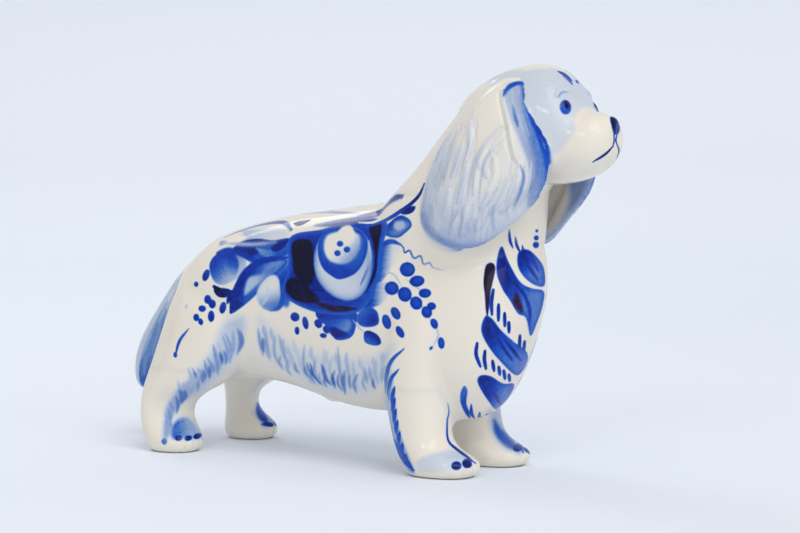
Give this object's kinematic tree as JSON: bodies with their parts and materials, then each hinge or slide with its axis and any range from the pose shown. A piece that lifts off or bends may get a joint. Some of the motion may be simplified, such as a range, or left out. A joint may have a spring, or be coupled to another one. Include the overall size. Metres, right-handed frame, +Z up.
{
  "type": "ceramic dog figurine",
  "caption": "Standing spaniel figurine in white glazed porcelain with cobalt blue brush painting, modelled as luted slip castings on flat paw soles.",
  "frame": {"origin": "on the table under the middle of the figurine's bounding box", "axes": "+X towards the nose, +Y to the dog's left, +Z up"},
  "size_m": [0.1442, 0.043, 0.0946],
  "materials": {
    "glazed_body": "glossy clear glaze over warm white porcelain with cobalt brush painting",
    "glazed_trim": "glossy clear glaze over a grey-blue cobalt wash",
    "glazed_leg": "glossy clear glaze, bare unglazed soles"
  },
  "bodies": {
    "root": {"torso_shell": "glazed_body", "head_shell": "glazed_body", "ear_left": "glazed_trim", "ear_right": "glazed_trim", "tail": "glazed_trim", "foreleg_left": "glazed_leg", "foreleg_right": "glazed_leg", "hindleg_left": "glazed_leg", "hindleg_right": "glazed_leg"}
  },
  "joints": []
}
